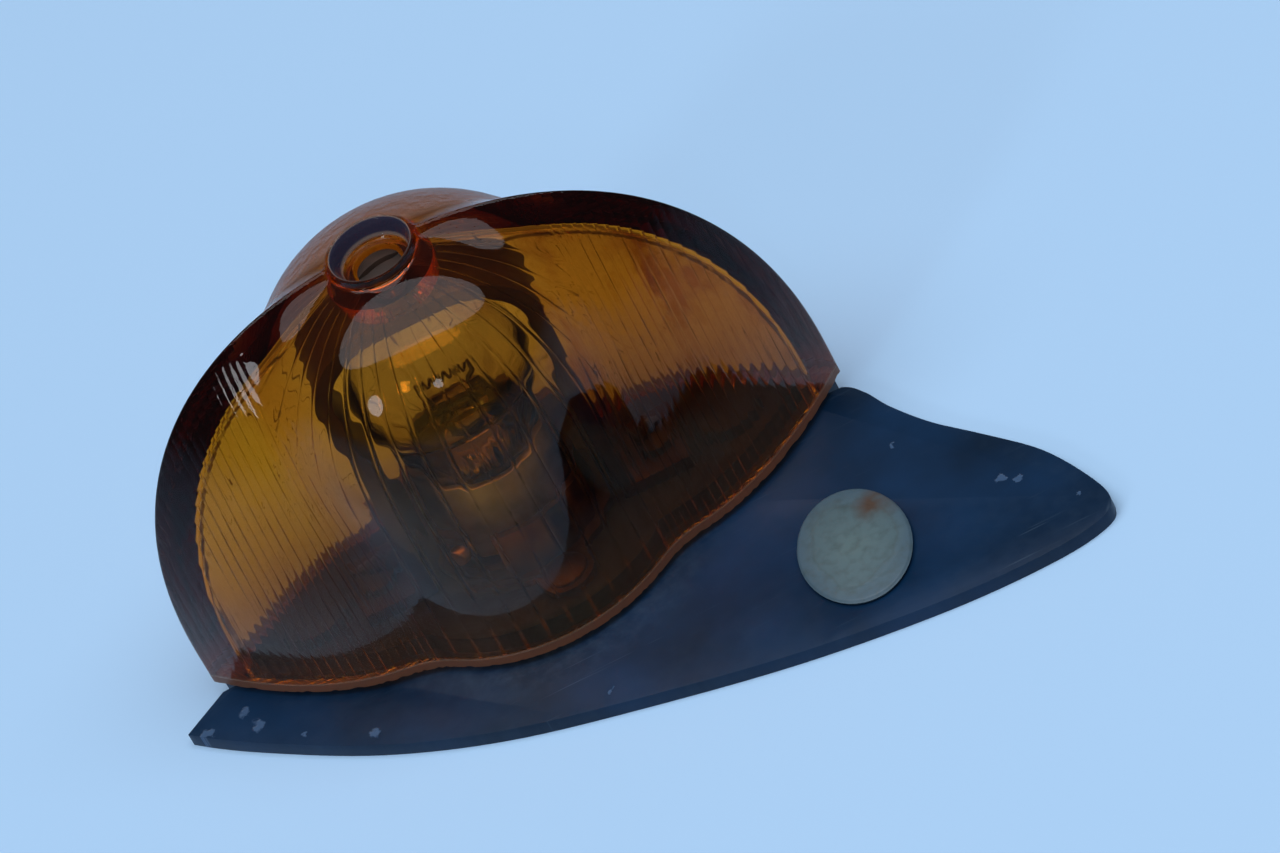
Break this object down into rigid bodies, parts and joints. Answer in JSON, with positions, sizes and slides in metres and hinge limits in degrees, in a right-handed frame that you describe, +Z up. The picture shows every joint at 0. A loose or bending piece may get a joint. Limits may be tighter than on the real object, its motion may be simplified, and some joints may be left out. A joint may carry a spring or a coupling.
{
  "type": "side indicator light",
  "caption": "Side indicator light: a two-winged amber lens with a central screw on a thin swept base plate, over a bayonet bulb holder and bulb.",
  "frame": {"origin": "on the lens screw's axis, at the base plate's underside, midway between the two mounting holes", "axes": "+X along the longest side, towards the plate's broad end; +Z up along the lens screw; -Y on the side where the plate sweeps out"},
  "size_m": [0.0929, 0.0543, 0.0439],
  "materials": {
    "base_paint": "aged satin paint, chipped",
    "plug_nylon": "aged white nylon, stained",
    "gasket_rubber": "matt",
    "lens_acrylic": "clear amber, fluted inside",
    "screw_steel": "rusty",
    "washer_fibre": "matt",
    "bridge_steel": "dull, rusty",
    "holder_brass": "tarnished",
    "laminate": "matt",
    "rivet_brass": "dull",
    "spring_steel": "satin",
    "bulb_glass": "clear",
    "cap_metal": "nickel plated, dull",
    "vitrite": "glossy",
    "solder": "dull",
    "lead_wire": "satin",
    "tungsten": "satin"
  },
  "bodies": {
    "base": {"base_plate": "base_paint", "hole_plug": "plug_nylon", "lens_gasket": "gasket_rubber", "bridge_bracket": "bridge_steel", "bridge_screws": "screw_steel", "holder_shell": "holder_brass", "holder_insulator": "laminate", "holder_rivets": "rivet_brass", "earth_tag": "rivet_brass", "contact_spring": "spring_steel"},
    "lens_unit": {"lens": "lens_acrylic"},
    "screw_unit": {"lens_screw": "screw_steel", "screw_washer": "washer_fibre"},
    "contact_unit": {"contact_plunger": "rivet_brass", "contact_tag": "rivet_brass"},
    "bulb_unit": {"bulb_glass": "bulb_glass", "bulb_cap": "cap_metal", "bulb_pins": "cap_metal", "bulb_insulator": "vitrite", "bulb_contact": "solder", "bulb_stem": "bulb_glass", "bulb_supports": "lead_wire", "bulb_filament": "tungsten"}
  },
  "joints": [
    {"name": "lens_lift", "type": "slide", "parent": "base", "child": "lens_unit", "axis": [0, 0, 1], "range_m": [0, 0.06]},
    {"name": "screw_turn", "type": "hinge", "parent": "lens_unit", "child": "screw_unit", "pos_m": [0, 0, 0.04], "axis": [0, 0, 1], "continuous": true},
    {"name": "contact_push", "type": "slide", "parent": "base", "child": "contact_unit", "axis": [0, 0, -1], "range_m": [0, 0.001], "stiffness_N_per_m": 3000, "springref_m": -0.002, "deforming": ["contact_spring"]},
    {"name": "bulb_turn", "type": "hinge", "parent": "contact_unit", "child": "bulb_unit", "pos_m": [0, 0, 0.01], "axis": [0, 0, 1], "range_deg": [0, 18]}
  ]
}
